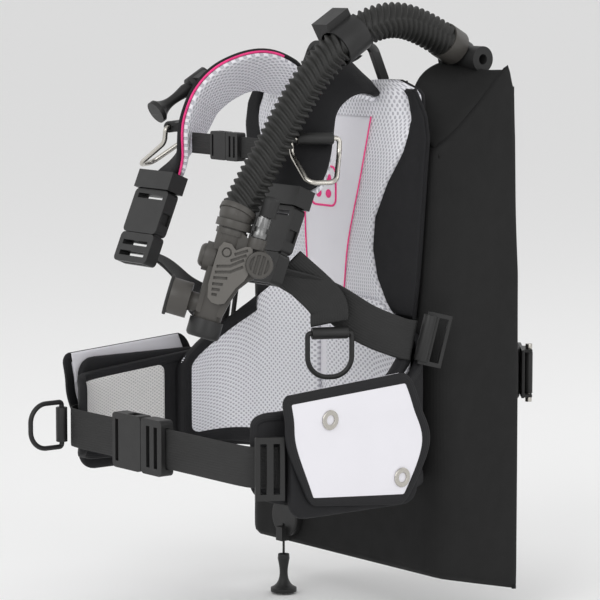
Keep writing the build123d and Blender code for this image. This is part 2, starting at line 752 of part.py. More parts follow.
bite_plane = Plane(origin=inflator_plane.from_local_coords((bite_station, -barrel_end, 0)), x_dir=inflator_down,
                   z_dir=inflator_plane.y_dir * -1)
with BuildPart() as mouthpiece_bite:
    with BuildSketch(bite_plane):
        Ellipse(18.5, 15)
        Ellipse(9, 6, mode=Mode.SUBTRACT)
    extrude(amount=3)
write(mouthpiece_bite, "mouthpiece_bite")

with BuildPart(inflator_plane) as quick_connector:
    with Locations(Location((5.5, connector_y, connector_z), lengthwise)):
        Cylinder(5.6, 21)
    # Sleeve that is pulled back to free the low-pressure hose, with grip ridges
    with Locations(Location((1, connector_y, connector_z), lengthwise)):
        Cylinder(7.6, 9)
    with Locations(Location((12.5, connector_y, connector_z), lengthwise)):
        Cylinder(7.2, 5)
    with Locations(Location((1, connector_y, connector_z), lengthwise)):
        with PolarLocations(8.0, 18):
            Box(1.4, 1.3, 9.6, mode=Mode.SUBTRACT)
write(quick_connector, "quick_connector")

with BuildPart(inflator_plane) as connector_cap:
    with Locations(Location((-14.5, connector_y + 2.5, connector_z), lengthwise)):
        Cylinder(7.6, 19)
    fillet(connector_cap.faces().sort_by(Axis((0, 0, 0), tuple(inflator_down)))[0].edges(), 5)
write(connector_cap, "connector_cap")

# ---------------------------------------------------------------- dump valves and their pulls


def trumpet(plane, length, throat, flare):
    """A pull knob: a waisted stem that opens into a round flange.  Z runs to the flange."""
    with BuildPart() as knob:
        with BuildSketch(Plane(origin=plane.origin, x_dir=plane.x_dir, z_dir=plane.y_dir * -1)):
            with BuildLine():
                Polyline((0, 0), (throat + 1.4, 0), (throat + 1.8, length * 0.12))
                Spline((throat + 1.8, length * 0.12), (throat, length * 0.42), (throat + 1.5, length * 0.72),
                       (flare, length * 0.90))
                Polyline((flare, length * 0.90), (flare, length), (0, length), (0, 0))
            make_face()
        revolve(axis=Axis(plane.origin, plane.z_dir))
    return knob


bottom_pull_x = -76.0
bottom_pull_y = -120.0
bottom_valve = (bottom_pull_x, wing_front - 4, -146)
bottom_pull = Plane(origin=(bottom_pull_x, bottom_pull_y, -184), x_dir=(1, 0, 0), z_dir=(0, 0, -1))
with BuildPart() as bottom_dump_valve:
    with Locations(Location(bottom_valve, (90, 0, 0))):
        Cylinder(20, 8)
    fillet(bottom_dump_valve.faces().sort_by(Axis.Y)[0].edges(), 2)
    with Locations((bottom_pull_x, bottom_pull_y, -163)):
        Box(10, 12, 14)
        Cylinder(1.6, 20, mode=Mode.SUBTRACT)
write(bottom_dump_valve, "bottom_dump_valve")
write(trumpet(bottom_pull, 38, 4.2, 13), "bottom_dump_knob")
with BuildPart() as bottom_dump_cord:
    with Locations((bottom_pull_x, bottom_pull_y, -174)):
        Cylinder(1.2, 20)
write(bottom_dump_cord, "bottom_dump_cord")

shoulder_pull_way = Vector(-0.08, -0.85, -0.52).normalized()
shoulder_pull = Plane(origin=(-112, -209, 284), x_dir=(1, -0.094, 0), z_dir=shoulder_pull_way)
write(trumpet(shoulder_pull, 44, 4.8, 11.5), "shoulder_dump_knob")
with BuildPart() as shoulder_dump_valve:
    with BuildSketch(shoulder_pull.offset(-24)):
        Circle(9)
    extrude(amount=22)
    with BuildSketch(shoulder_pull.offset(-21)):
        with Locations((14, 2)):
            Rectangle(24, 12)
    extrude(amount=14)
write(shoulder_dump_valve, "shoulder_dump_valve")
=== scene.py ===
import math
from bisect import bisect_right

import bpy
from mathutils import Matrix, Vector, noise


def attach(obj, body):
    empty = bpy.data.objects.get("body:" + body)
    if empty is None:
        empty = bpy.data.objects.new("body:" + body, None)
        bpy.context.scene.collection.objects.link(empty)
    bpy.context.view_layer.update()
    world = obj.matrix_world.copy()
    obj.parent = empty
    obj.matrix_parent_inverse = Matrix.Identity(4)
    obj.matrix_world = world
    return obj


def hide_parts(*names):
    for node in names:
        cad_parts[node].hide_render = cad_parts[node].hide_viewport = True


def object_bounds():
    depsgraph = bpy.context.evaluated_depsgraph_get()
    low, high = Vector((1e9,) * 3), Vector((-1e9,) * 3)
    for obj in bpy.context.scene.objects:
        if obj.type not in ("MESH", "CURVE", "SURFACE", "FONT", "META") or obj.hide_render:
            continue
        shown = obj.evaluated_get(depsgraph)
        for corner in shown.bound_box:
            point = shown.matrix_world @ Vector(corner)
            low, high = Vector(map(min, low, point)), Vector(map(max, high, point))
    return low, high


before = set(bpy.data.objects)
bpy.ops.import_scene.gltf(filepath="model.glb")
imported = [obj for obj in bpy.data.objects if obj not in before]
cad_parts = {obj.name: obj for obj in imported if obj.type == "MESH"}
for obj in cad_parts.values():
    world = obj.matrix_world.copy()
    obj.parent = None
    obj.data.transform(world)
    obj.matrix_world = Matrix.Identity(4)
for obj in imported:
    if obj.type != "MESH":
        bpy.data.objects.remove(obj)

cad_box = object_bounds()


# ---------------------------------------------------------------- places and lines

def mm(*place):
    """A place given in millimetres."""
    return Vector(place) / 1000


def mirrored(place):
    """The same place on the diver's other side."""
    return Vector((-place.x, place.y, place.z))


def eased(value, start, end):
    """0 before start, 1 after end, and a smooth rise between them."""
    share = min(max((value - start) / (end - start), 0.0), 1.0)
    return share * share * (3 - 2 * share)


def between(value, pairs):
    """A value read off a bent line of (at, value) pairs, with at rising."""
    if value <= pairs[0][0]:
        return pairs[0][1]
    for (start, low), (end, high) in zip(pairs, pairs[1:]):
        if value <= end:
            return low + (high - low) * (value - start) / (end - start)
    return pairs[-1][1]


def smooth_route(points):
    """A smooth line through points, as a function of the share of its length."""
    outer = [points[0] * 2 - points[1]] + list(points) + [points[-1] * 2 - points[-2]]
    line = []
    steps = 16
    for before, start, end, after in zip(outer, outer[1:], outer[2:], outer[3:]):
        for step in range(steps):
            t = step / steps
            line.append(0.5 * (2 * start + (end - before) * t
                               + (2 * before - 5 * start + 4 * end - after) * t ** 2
                               + (3 * start - before - 3 * end + after) * t ** 3))
    line.append(points[-1])
    lengths = [0.0]
    for start, end in zip(line, line[1:]):
        lengths.append(lengths[-1] + (end - start).length)

    def at(share):
        goal = min(max(share, 0.0), 1.0) * lengths[-1]
        index = min(bisect_right(lengths, goal), len(line) - 1)
        span = lengths[index] - lengths[index - 1]
        return line[index - 1].lerp(line[index], (goal - lengths[index - 1]) / span)

    at.length = lengths[-1]
    return at


# ---------------------------------------------------------------- making pieces

def deselect():
    bpy.ops.object.select_all(action="DESELECT")


def alone(piece):
    """Only this piece is selected and active."""
    deselect()
    piece.select_set(True)
    bpy.context.view_layer.objects.active = piece


def close_up(piece, merge=2e-5):
    """Doubles are merged and the faces turned outwards."""
    alone(piece)
    bpy.ops.object.mode_set(mode="EDIT")
    bpy.ops.mesh.select_all(action="SELECT")
    bpy.ops.mesh.remove_doubles(threshold=merge)
    bpy.ops.mesh.dissolve_degenerate(threshold=merge)
    bpy.ops.mesh.normals_make_consistent(inside=False)
    bpy.ops.object.mode_set(mode="OBJECT")
    bpy.ops.object.shade_smooth()


def dress(piece, name, material, body="vest", replaces=()):
    """Name, finish and body of a finished piece."""
    piece.name = name
    piece.data.name = name
    piece.data.materials.clear()
    piece.data.materials.append(material)
    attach(piece, body)
    if replaces:
        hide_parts(*replaces)
    return piece


def grid_of(rows, columns, place):
    """A grid whose every vertex is put at place(column share, row share)[0], with [1] as its UV."""
    deselect()
    bpy.ops.mesh.primitive_grid_add(x_subdivisions=columns, y_subdivisions=rows, size=1)
    piece = bpy.context.object
    spots = []
    for vertex in piece.data.vertices:
        point, uv = place(vertex.co.x + 0.5, vertex.co.y + 0.5)
        vertex.co = point
        spots.append(uv)
    layer = piece.data.uv_layers[0].data
    for loop in piece.data.loops:
        layer[loop.index].uv = spots[loop.vertex_index]
    return piece


def signed_power(value, power):
    return math.copysign(abs(value) ** power, value)


def normal_of(place, u, v):
    """The way that a middle surface faces."""
    step = 0.004
    u_low, u_high = max(u - step, 0), min(u + step, 1)
    v_low, v_high = max(v - step, 0), min(v + step, 1)
    across = place(u_high, v) - place(u_low, v)
    along = place(u, v_high) - place(u, v_low)
    return across.cross(along).normalized()


def stuffed(place, width, length, thickness, rows=40, columns=14, corner=0.0, edge=None, boxy=0.55,
            relief=None):
    """A closed form round the middle surface place(u, v); width and length are its real size.

    corner rounds its four corners, edge is how far in it reaches full thickness at its ends, and
    relief(u, v) adds to the half thickness.
    """
    edge = edge or thickness

    def spot(column, row):
        turn = column * 2 * math.pi
        v = row - 0.055 * math.sin(4 * math.pi * row) if corner else row
        margin = min(v, 1 - v) * length
        lost = 0.0
        if margin < corner:
            lost = corner - math.sqrt(max(corner ** 2 - (corner - margin) ** 2, 0))
        rise = min(margin / edge, 1)
        full = math.sqrt(max(1 - (1 - rise) ** 2, 0))
        u = 0.5 + 0.5 * signed_power(math.cos(turn), boxy) * (1 - 2 * lost / width)
        level = signed_power(math.sin(turn), boxy)
        half = thickness / 2
        if relief:
            half += relief(u, v)
        point = place(u, v) + normal_of(place, u, v) * level * half * full
        return point, (u * width, v * length)

    piece = grid_of(rows, 2 * columns, spot)
    close_up(piece)
    return piece


def rim(width, length, corner):
    """The closed edge of a panel with round corners: share of the way round to (x, y, out x, out y)."""
    sides = [width - 2 * corner, length - 2 * corner] * 2
    arc = corner * math.pi / 2
    starts = [(corner, 0), (width, corner), (width - corner, length), (0, length - corner)]
    total = sum(sides) + 4 * arc

    def at(share):
        left = (share % 1.0) * total
        for side in range(4):
            heading = side * math.pi / 2
            x, y = starts[side]
            if left <= sides[side]:
                x += left * math.cos(heading)
                y += left * math.sin(heading)
                return x, y, math.sin(heading), -math.cos(heading)
            left -= sides[side]
            x += sides[side] * math.cos(heading)
            y += sides[side] * math.sin(heading)
            if left <= arc:
                turned = heading + left / corner
                centre_x = x - corner * math.sin(heading)
                centre_y = y + corner * math.cos(heading)
                return (centre_x + corner * math.sin(turned), centre_y - corner * math.cos(turned),
                        math.sin(turned), -math.cos(turned))
            left -= arc
        return starts[0][0], starts[0][1], 0.0, -1.0

    at.length = total
    return at


def bound_edge(place, width, length, corner, band, thickness, steps=160, over=0.0008, first=0.0,
               last=1.0):
    """Binding tape folded over the edge of a panel, all the way round or from first to last."""
    edge = rim(width, length, corner)

    def spot(column, row):
        turn = column * 2 * math.pi
        x, y, out_x, out_y = edge(first + (last - first) * row)
        inset = band / 2 - over - signed_power(math.cos(turn), 0.5) * band / 2
        u = (x - out_x * inset) / width
        v = (y - out_y * inset) / length
        inner_u, inner_v = min(max(u, 0.001), 0.999), min(max(v, 0.001), 0.999)
        normal = normal_of(place, inner_u, inner_v)
        point = place(u, v) + normal * signed_power(math.sin(turn), 0.6) * thickness / 2
        return point, (inset, row * edge.length)

    piece = grid_of(steps, 12, spot)
    close_up(piece)
    return piece


def tube(points, radius, sides=10, closed=False):
    """A round cord of fabric, wire or thread through points, as a closed mesh."""
    line = bpy.data.curves.new("line", "CURVE")
    line.dimensions = "3D"
    line.bevel_depth = radius
    line.bevel_resolution = sides // 2 - 1
    line.use_fill_caps = True
    spline = line.splines.new("POLY")
    spline.points.add(len(points) - 1)
    for point, place in zip(spline.points, points):
        point.co = (*place, 1)
    spline.use_cyclic_u = closed
    piece = bpy.data.objects.new("line", line)
    bpy.context.scene.collection.objects.link(piece)
    alone(piece)
    bpy.ops.object.convert(target="MESH")
    piece = bpy.context.object
    bpy.ops.object.shade_smooth()
    return piece


def strap_surface(stations, width):
    """The middle surface of a strap: u across it and v along it.  A station is (place, outward)."""
    line = smooth_route([place for place, outward in stations])
    facing = smooth_route([place + outward * 0.2 for place, outward in stations])

    def place(u, v):
        centre = line(v)
        along = (line(min(v + 0.01, 1)) - line(max(v - 0.01, 0))).normalized()
        outward = (facing(v) - centre).normalized()
        across = along.cross(outward).normalized()
        return centre + across * (u - 0.5) * width

    place.length = line.length
    return place


# ---------------------------------------------------------------- finishes

class Finish:
    """A material and the few node steps that the finishes here share."""

    def __init__(self, name, colour, roughness, metallic=0.0, sheen=0.0, gloss=0.5):
        self.material = bpy.data.materials.new(name)
        self.material.use_nodes = True
        self.tree = self.material.node_tree
        self.shader = self.tree.nodes["Principled BSDF"]
        self.shader.inputs["Base Color"].default_value = (*colour, 1)
        self.shader.inputs["Roughness"].default_value = roughness
        self.shader.inputs["Metallic"].default_value = metallic
        self.shader.inputs["Sheen Weight"].default_value = sheen
        self.shader.inputs["Specular IOR Level"].default_value = gloss
        self.height = None

    def node(self, kind, **settings):
        made = self.tree.nodes.new(kind)
        for name, value in settings.items():
            setattr(made, name, value)
        return made

    def link(self, source, target):
        self.tree.links.new(source, target)

    def coordinates(self, source, scale, turn=0.0):
        """Texture coordinates from "UV" or "Object", scaled and turned."""
        origin = self.node("ShaderNodeTexCoord")
        mapping = self.node("ShaderNodeMapping")
        mapping.inputs["Scale"].default_value = scale
        mapping.inputs["Rotation"].default_value = (0, 0, turn)
        self.link(origin.outputs[source], mapping.inputs["Vector"])
        return mapping.outputs["Vector"]

    def math(self, operation, first, second=None, third=None):
        made = self.node("ShaderNodeMath", operation=operation)
        for socket, value in zip(made.inputs, (first, second, third)):
            if value is None:
                continue
            if isinstance(value, (int, float)):
                socket.default_value = value
            else:
                self.link(value, socket)
        return made.outputs[0]

    def noise(self, vector, scale, detail=3.0, roughness=0.55):
        made = self.node("ShaderNodeTexNoise")
        made.inputs["Scale"].default_value = scale
        made.inputs["Detail"].default_value = detail
        made.inputs["Roughness"].default_value = roughness
        self.link(vector, made.inputs["Vector"])
        return made.outputs["Fac"]

    def dots(self, vector, radius):
        """1 inside round holes on two crossed square lattices of unit spacing, 0 outside."""
        nearest = None
        for shift in (0.0, 0.5):
            moved = self.node("ShaderNodeVectorMath", operation="ADD")
            moved.inputs[1].default_value = (shift, shift, 0)
            self.link(vector, moved.inputs[0])
            cell = self.node("ShaderNodeVectorMath", operation="FRACTION")
            self.link(moved.outputs[0], cell.inputs[0])
            centred = self.node("ShaderNodeVectorMath", operation="SUBTRACT")
            centred.inputs[1].default_value = (0.5, 0.5, 0)
            self.link(cell.outputs[0], centred.inputs[0])
            flat = self.node("ShaderNodeVectorMath", operation="MULTIPLY")
            flat.inputs[1].default_value = (1, 1, 0)
            self.link(centred.outputs[0], flat.inputs[0])
            distance = self.node("ShaderNodeVectorMath", operation="LENGTH")
            self.link(flat.outputs[0], distance.inputs[0])
            away = distance.outputs["Value"]
            nearest = away if nearest is None else self.math("MINIMUM", nearest, away)
        edge = self.node("ShaderNodeMapRange", interpolation_type="SMOOTHSTEP")
        edge.inputs["From Min"].default_value = radius * 0.75
        edge.inputs["From Max"].default_value = radius * 1.15
        edge.inputs["To Min"].default_value = 1.0
        edge.inputs["To Max"].default_value = 0.0
        self.link(nearest, edge.inputs["Value"])
        return edge.outputs["Result"]

    def ribs(self, vector, axis):
        """Rounded ribs of unit spacing across one axis of the coordinates, from 0 to 1."""
        apart = self.node("ShaderNodeSeparateXYZ")
        self.link(vector, apart.inputs[0])
        turned = self.math("MULTIPLY", apart.outputs[axis], 2 * math.pi)
        return self.math("MULTIPLY_ADD", self.math("SINE", turned), 0.5, 0.5)

    def mix(self, share, first, second):
        """A colour between two, by share; each is a socket or three numbers."""
        made = self.node("ShaderNodeMix", data_type="RGBA")
        self.link(share, made.inputs["Factor"])
        for socket, colour in ((made.inputs[6], first), (made.inputs[7], second)):
            if isinstance(colour, tuple):
                socket.default_value = (*colour, 1)
            else:
                self.link(colour, socket)
        return made.outputs[2]

    def colour(self, socket):
        self.link(socket, self.shader.inputs["Base Color"])

    def roughen(self, share, low, high):
        span = self.node("ShaderNodeMapRange")
        span.inputs["To Min"].default_value = low
        span.inputs["To Max"].default_value = high
        self.link(share, span.inputs["Value"])
        self.link(span.outputs["Result"], self.shader.inputs["Roughness"])

    def bump(self, height, distance, strength=1.0):
        """Adds one layer of relief, in metres, over the ones before."""
        made = self.node("ShaderNodeBump")
        made.inputs["Distance"].default_value = distance
        made.inputs["Strength"].default_value = strength
        self.link(height, made.inputs["Height"])
        if self.height is not None:
            self.link(self.height, made.inputs["Normal"])
        self.height = made.outputs["Normal"]
        self.link(self.height, self.shader.inputs["Normal"])


def spacer_mesh(name, cloth, painted_hole_shade, spacing=0.0042, radius=0.23):
    """Knitted spacer fabric with staggered round holes, whose darker colour is painted shade."""
    finish = Finish(name, cloth, 0.85, gloss=0.2)
    lattice = finish.coordinates("UV", (1 / spacing, 0.62 / spacing, 1))
    holes = finish.dots(lattice, radius)
    around = finish.coordinates("Object", (1, 1, 1))
    mottled_cloth = finish.mix(finish.noise(around, 9), tuple(0.93 * c for c in cloth), cloth)
    # Inside the holes the colour is painted shade, a darker copy of the cloth for the shade in the recesses.
    finish.colour(finish.mix(holes, mottled_cloth, painted_hole_shade))
    finish.bump(finish.math("SUBTRACT", 1.0, holes), 0.0009, 0.8)
    finish.bump(finish.noise(around, 1500, 2), 0.00025, 0.5)
    return finish.material


def smooth_cloth(name, colour):
    """Coated cloth with a fine square weave and faint soiling at random."""
    finish = Finish(name, colour, 0.62, gloss=0.25)
    around = finish.coordinates("Object", (1, 1, 1))
    finish.colour(finish.mix(finish.noise(around, 14), tuple(0.93 * c for c in colour), colour))
    weave = finish.coordinates("UV", (1400, 1400, 1))
    crossed = finish.math("MULTIPLY", finish.ribs(weave, 0), finish.ribs(weave, 1))
    finish.bump(crossed, 0.00012, 0.5)
    finish.bump(finish.noise(around, 35, 2), 0.0016, 0.35)
    return finish.material


def black_nylon(name, colour, turn=0.0):
    """Coarse woven nylon, with soft creases."""
    finish = Finish(name, colour, 0.72, gloss=0.16)
    around = finish.coordinates("Object", (1, 1, 1))
    light = tuple(1.7 * c for c in colour)
    finish.colour(finish.mix(finish.noise(around, 6, 4), colour, light))
    weave = finish.coordinates("UV", (900, 900, 1), turn)
    crossed = finish.math("MULTIPLY", finish.ribs(weave, 0), finish.ribs(weave, 1))
    finish.bump(crossed, 0.00022, 0.7)
    finish.bump(finish.noise(around, 16, 3), 0.004, 0.35)
    finish.roughen(finish.noise(around, 60), 0.62, 0.82)
    return finish.material


def webbing_cloth(name, colour):
    """Flat strap with fine ribs across it and closer rows along it."""
    finish = Finish(name, colour, 0.6, gloss=0.2)
    around = finish.coordinates("Object", (1, 1, 1))
    finish.colour(finish.mix(finish.noise(around, 40), colour, tuple(1.6 * c for c in colour)))
    weave = finish.coordinates("UV", (420, 900, 1))
    finish.bump(finish.ribs(weave, 0), 0.00025, 0.6)
    finish.bump(finish.ribs(weave, 1), 0.0002, 0.6)
    return finish.material


def moulded(name, colour, roughness=0.42, grain=0.00012):
    """Moulded plastic or rubber with a fine spark-eroded grain."""
    finish = Finish(name, colour, roughness, gloss=0.32)
    around = finish.coordinates("Object", (1, 1, 1))
    finish.colour(finish.mix(finish.noise(around, 25), colour, tuple(1.35 * c for c in colour)))
    finish.roughen(finish.noise(around, 90, 4), roughness - 0.07, roughness + 0.1)
    finish.bump(finish.noise(around, 1100, 2), grain, 0.5)
    return finish.material


def bright_metal(name, colour, roughness=0.2):
    """Plated wire, with faint polishing marks."""
    finish = Finish(name, colour, roughness, metallic=1.0)
    around = finish.coordinates("Object", (1, 1, 1))
    finish.roughen(finish.noise(around, 300, 5), roughness - 0.06, roughness + 0.14)
    finish.bump(finish.noise(around, 900, 2), 0.00004, 0.4)
    return finish.material


# The second colour given to each spacer mesh is painted shade inside its holes.
WHITE_MESH = spacer_mesh("white_spacer_mesh", (0.80, 0.80, 0.84), (0.47, 0.47, 0.51))
GREY_MESH = spacer_mesh("grey_lining_mesh", (0.74, 0.73, 0.72), (0.50, 0.50, 0.50), 0.0032, 0.20)
WHITE_CLOTH = smooth_cloth("white_coated_cloth", (0.76, 0.75, 0.79))
BLACK_CLOTH = black_nylon("black_nylon_cloth", (0.012, 0.012, 0.013))
CELL_CLOTH = black_nylon("air_cell_nylon", (0.010, 0.010, 0.010))
TAPE = webbing_cloth("binding_tape", (0.010, 0.010, 0.011))
WEBBING = webbing_cloth("strap_webbing", (0.020, 0.020, 0.020))
PLASTIC = moulded("charcoal_plastic", (0.014, 0.014, 0.014))
GREY_PLASTIC = moulded("slate_plastic", (0.050, 0.047, 0.043), 0.38)
COVER_PLASTIC = moulded("pale_slate_plastic", (0.092, 0.087, 0.080), 0.40)
RUBBER = moulded("soft_rubber", (0.016, 0.016, 0.016), 0.5)
HOSE_RUBBER = moulded("hose_rubber", (0.016, 0.016, 0.015), 0.46)
NICKEL = bright_metal("nickel_plate", (0.50, 0.48, 0.44), 0.24)
DARK_STEEL = bright_metal("dark_steel", (0.20, 0.20, 0.20), 0.28)
PINK = webbing_cloth("pink_trim", (0.80, 0.055, 0.23))


# ---------------------------------------------------------------- CAD nodes that stay

SOFT_EDGE = 0.0006             # how far moulded edges are rounded
SHARP = math.radians(38)       # edges sharper than this are rounded

NODE_FINISH = {
    "tank_band": (WEBBING, "webbing"),
    "tank_grip_pads": (RUBBER, "soft_rubber"),
    "backplate": (PLASTIC, "moulded_plastic"),
    "cam_buckle_pin": (NICKEL, "steel"),
    "cam_buckle_bail": (NICKEL, "steel"),
    "left_grommets": (NICKEL, "steel"),
    "right_grommets": (NICKEL, "steel"),
    "left_shoulder_ring": (NICKEL, "steel"),
    "right_shoulder_ring": (NICKEL, "steel"),
    "quick_connector": (DARK_STEEL, "steel"),
    "hose_collars": (GREY_PLASTIC, "moulded_plastic"),
    "inflator_body": (GREY_PLASTIC, "moulded_plastic"),
    "inflator_cover": (COVER_PLASTIC, "moulded_plastic"),
    "exhaust_valve": (GREY_PLASTIC, "moulded_plastic"),
    "inflate_button": (GREY_PLASTIC, "moulded_plastic"),
    "mouthpiece_barrel": (GREY_PLASTIC, "moulded_plastic"),
    "mouthpiece_bite": (RUBBER, "soft_rubber"),
    "connector_cap": (RUBBER, "soft_rubber"),
}


def finish_cad_nodes():
    """Every CAD node gets the finish of its real material."""
    for name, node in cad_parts.items():
        material, slot = NODE_FINISH.get(name, (PLASTIC, "moulded_plastic"))
        node.data.materials.clear()
        node.data.materials.append(material)
        for polygon in node.data.polygons:
            polygon.material_index = 0
        weld = node.modifiers.new("weld", "WELD")
        weld.merge_threshold = 1e-5
        rounding = node.modifiers.new("rounding", "BEVEL")
        rounding.width = SOFT_EDGE
        rounding.segments = 2
        rounding.limit_method = "ANGLE"
        rounding.angle_limit = SHARP


# ---------------------------------------------------------------- hose

HOSE_DIAMETER = 0.031
HOSE_ROUTE = [
    mm(86, -48, 331), mm(90, -88, 351), mm(95, -136, 356), mm(95, -181, 337), mm(98, -220, 306),
    mm(101, -247, 275), mm(104, -270, 244), mm(108, -296, 213), mm(110, -317, 183),
]


def spline_points(points, resolution=24):
    """Points read from the NURBS spline that has these control points."""
    line = bpy.data.curves.new("route", "CURVE")
    line.dimensions = "3D"
    line.resolution_u = resolution
    spline = line.splines.new("NURBS")
    spline.points.add(len(points) - 1)
    for point, place in zip(spline.points, points):
        point.co = (*place, 1)
    spline.order_u = 3
    spline.use_endpoint_u = True
    holder = bpy.data.objects.new("route", line)
    bpy.context.scene.collection.objects.link(holder)
    bpy.context.view_layer.update()
    graph = bpy.context.evaluated_depsgraph_get()
    mesh = bpy.data.meshes.new_from_object(holder.evaluated_get(graph))
    read = [vertex.co.copy() for vertex in mesh.vertices]
    bpy.data.objects.remove(holder)
    bpy.data.meshes.remove(mesh)
    return read


def make_hose():
    """Corrugated hose whose ribs meet in a V along its length."""
    read = spline_points(HOSE_ROUTE)
    line = smooth_route(read)
    pitch = 0.0070
    depth = 0.0018
    cuff_start, cuff_end = 0.012, 0.010     # smooth lengths at the two collars
    proud = 0.0004                          # over the CAD hose, which this piece covers
    rows_per_rib = 9
    rows = int(line.length / pitch) * rows_per_rib
    sides = 44
    side_way = Vector((1, 0, 0))
    spine = math.radians(4)        # where round the hose the Vs have their points
    sweep = 0.026                  # how far a rib climbs from its point to the far side

    def spot(column, row):
        turn = column * 2 * math.pi
        centre = line(row)
        along = (line(min(row + 0.004, 1)) - line(max(row - 0.004, 0))).normalized()
        over = along.cross(side_way).normalized()
        side = over.cross(along).normalized()
        away = abs((turn - spine + math.pi) % (2 * math.pi) - math.pi) / math.pi
        ends = eased(row * line.length, 0, cuff_start) * eased((1 - row) * line.length, 0, cuff_end)
        phase = (row * line.length + sweep * away) / pitch
        wave = math.cos(2 * math.pi * phase)
        rib = depth * ends * (signed_power(wave, 0.7) - 0.3)
        radius = HOSE_DIAMETER / 2 + proud + rib
        point = centre + (side * math.cos(turn) + over * math.sin(turn)) * radius
        return point, (column, row * line.length)

    piece = grid_of(rows, sides, spot)
    alone(piece)
    bpy.ops.object.mode_set(mode="EDIT")
    bpy.ops.mesh.select_all(action="SELECT")
    bpy.ops.mesh.remove_doubles(threshold=2e-5)
    bpy.ops.mesh.fill_holes(sides=0)
    bpy.ops.mesh.normals_make_consistent(inside=False)
    bpy.ops.object.mode_set(mode="OBJECT")
    bpy.ops.object.shade_smooth()
    dress(piece, "corrugated_hose", HOSE_RUBBER, replaces=["hose"])
    return piece


# ---------------------------------------------------------------- air cell

CELL_FRONT = -0.106
CELL_BACK = -0.006
CELL_THICKNESS = 0.0105
# Half of the cell seen from above, from a lobe's rear edge to the middle of its front
CELL_PLAN = [
    mm(144, -6, 0), mm(144.5, -40, 0), mm(144.5, -75, 0), mm(143.5, -93, 0), mm(138, -102, 0),
    mm(126, -106, 0), mm(70, -106, 0), mm(0, -106, 0),
]
CELL_HEIGHT = 0.47             # mean height, for the weave
CELL_TOP = [
    (CELL_FRONT, 0.236), (-0.060, 0.275), (-0.026, 0.308), (-0.016, 0.311), (-0.010, 0.298),
    (CELL_BACK, 0.290),
]
CELL_BOTTOM = [(-0.112, -0.172), (-0.100, -0.176), (CELL_BACK, -0.197)]
CELL_LEAN = 0.007              # how far a lobe's front leans back towards its top
CELL_WAVE = 0.0022
PUCKER_DEPTH = 0.0011
CELL_PIPING = 0.0022
CELL_PIPING_BEHIND = 0.0016


def make_air_cell():
    """The U-shaped cell: two deep side lobes joined in front of the tank."""
    line = smooth_route(CELL_PLAN + [mirrored(place) for place in reversed(CELL_PLAN[:-1])])

    def place(u, v):
        spot = line(min(max(u, 0), 1))
        low = between(spot.y, CELL_BOTTOM)
        high = between(spot.y, CELL_TOP)
        height = low + (high - low) * v
        lean = eased(height, 0.05, 0.30) * eased(spot.y, -0.03, CELL_BACK) * -CELL_LEAN
        wave = noise.noise(Vector((spot.x * 14, spot.y * 14, height * 9))) * CELL_WAVE
        inward = -1 if spot.x > 0 else 1
        return Vector((spot.x + inward * abs(wave), spot.y + lean, height))

    def puckers(u, v):
        crease = noise.noise(Vector((u * 26, v * 9, 3.1)))
        return PUCKER_DEPTH * crease * (1 - eased(min(v, 1 - v), 0.0, 0.35))

    piece = stuffed(place, line.length, CELL_HEIGHT, CELL_THICKNESS, rows=90, columns=90, edge=0.012,
                    boxy=0.42, relief=puckers)
    dress(piece, "air_cell", CELL_CLOTH, replaces=["wing"])

    rear = []
    for step in range(61):
        rear.append(place(0.0, step / 60) + Vector((0, -CELL_PIPING_BEHIND, 0)))
    for number, points in enumerate((rear, [mirrored(point) for point in rear])):
        dress(tube(points, CELL_PIPING, 8), f"air_cell_edge_{number}", TAPE)


SHOULDER_OUTER = [mm(143, -105, 226), mm(144, -82, 254), mm(144, -52, 280), mm(144, -22, 307)]
SHOULDER_INNER = [mm(98, -107, 272), mm(88, -84, 298), mm(78, -56, 309), mm(70, -24, 312)]
SHOULDER_SAG = 0.005


def make_cell_shoulders():
    """Cloth that runs from each lobe's top edge over to the elbow and the yoke."""
    outer = smooth_route(SHOULDER_OUTER)
    inner = smooth_route(SHOULDER_INNER)
    for side, name in ((1, "left"), (-1, "right")):
        def place(u, v, side=side):
            near, far = outer(v), inner(v)
            spot = near.lerp(far, u if side > 0 else 1 - u)
            spot.z -= SHOULDER_SAG * math.sin(math.pi * u)
            return spot if side > 0 else mirrored(spot)

        gusset = stuffed(place, 0.07, outer.length, 0.007, rows=40, columns=20, edge=0.006)
        dress(gusset, f"{name}_cell_shoulder", CELL_CLOTH)


# ---------------------------------------------------------------- back pad

# Height, and half the pad's width there
PAD_OUTLINE = [
    (-0.080, 0.096), (0.072, 0.097), (0.086, 0.084), (0.108, 0.070), (0.135, 0.063), (0.165, 0.066),
    (0.200, 0.085), (0.230, 0.108), (0.262, 0.1225), (0.284, 0.117), (0.296, 0.094),
]
PAD_LOW = -0.080
PAD_HIGH = 0.294
PAD_FACE = -0.1195
PAD_CLOTH_WIDTH = 0.22         # of the mesh before it is drawn in at the waist, for its pattern
PAD_THICKNESS = 0.0145
SEAM_RIGHT = [mm(70, 0, 262), mm(54, 0, 203), mm(37, 0, 145), mm(31, 0, 106), mm(26, 0, 50), mm(30, 0, 2)]
SEAM_LEFT = [
    mm(-50, 0, 262), mm(-40, 0, 215), mm(-32, 0, 168), mm(-30, 0, 139), mm(-25, 0, 80), mm(-22, 0, 26),
    mm(-17, 0, 2),
]


def pad_half_width(height):
    return between(height, PAD_OUTLINE)


def pad_place(u, v):
    """The back pad's middle surface; its top corners curl back over the shoulders."""
    height = PAD_LOW + (PAD_HIGH - PAD_LOW) * v
    x = (2 * u - 1) * pad_half_width(height)
    curl = eased(abs(x), 0.088, 0.122) * eased(height, 0.235, 0.285)
    return Vector((x, PAD_FACE + 0.013 * curl, height + 0.004 * eased(abs(x), 0.02, 0.09) * eased(v, 0.9, 1)))


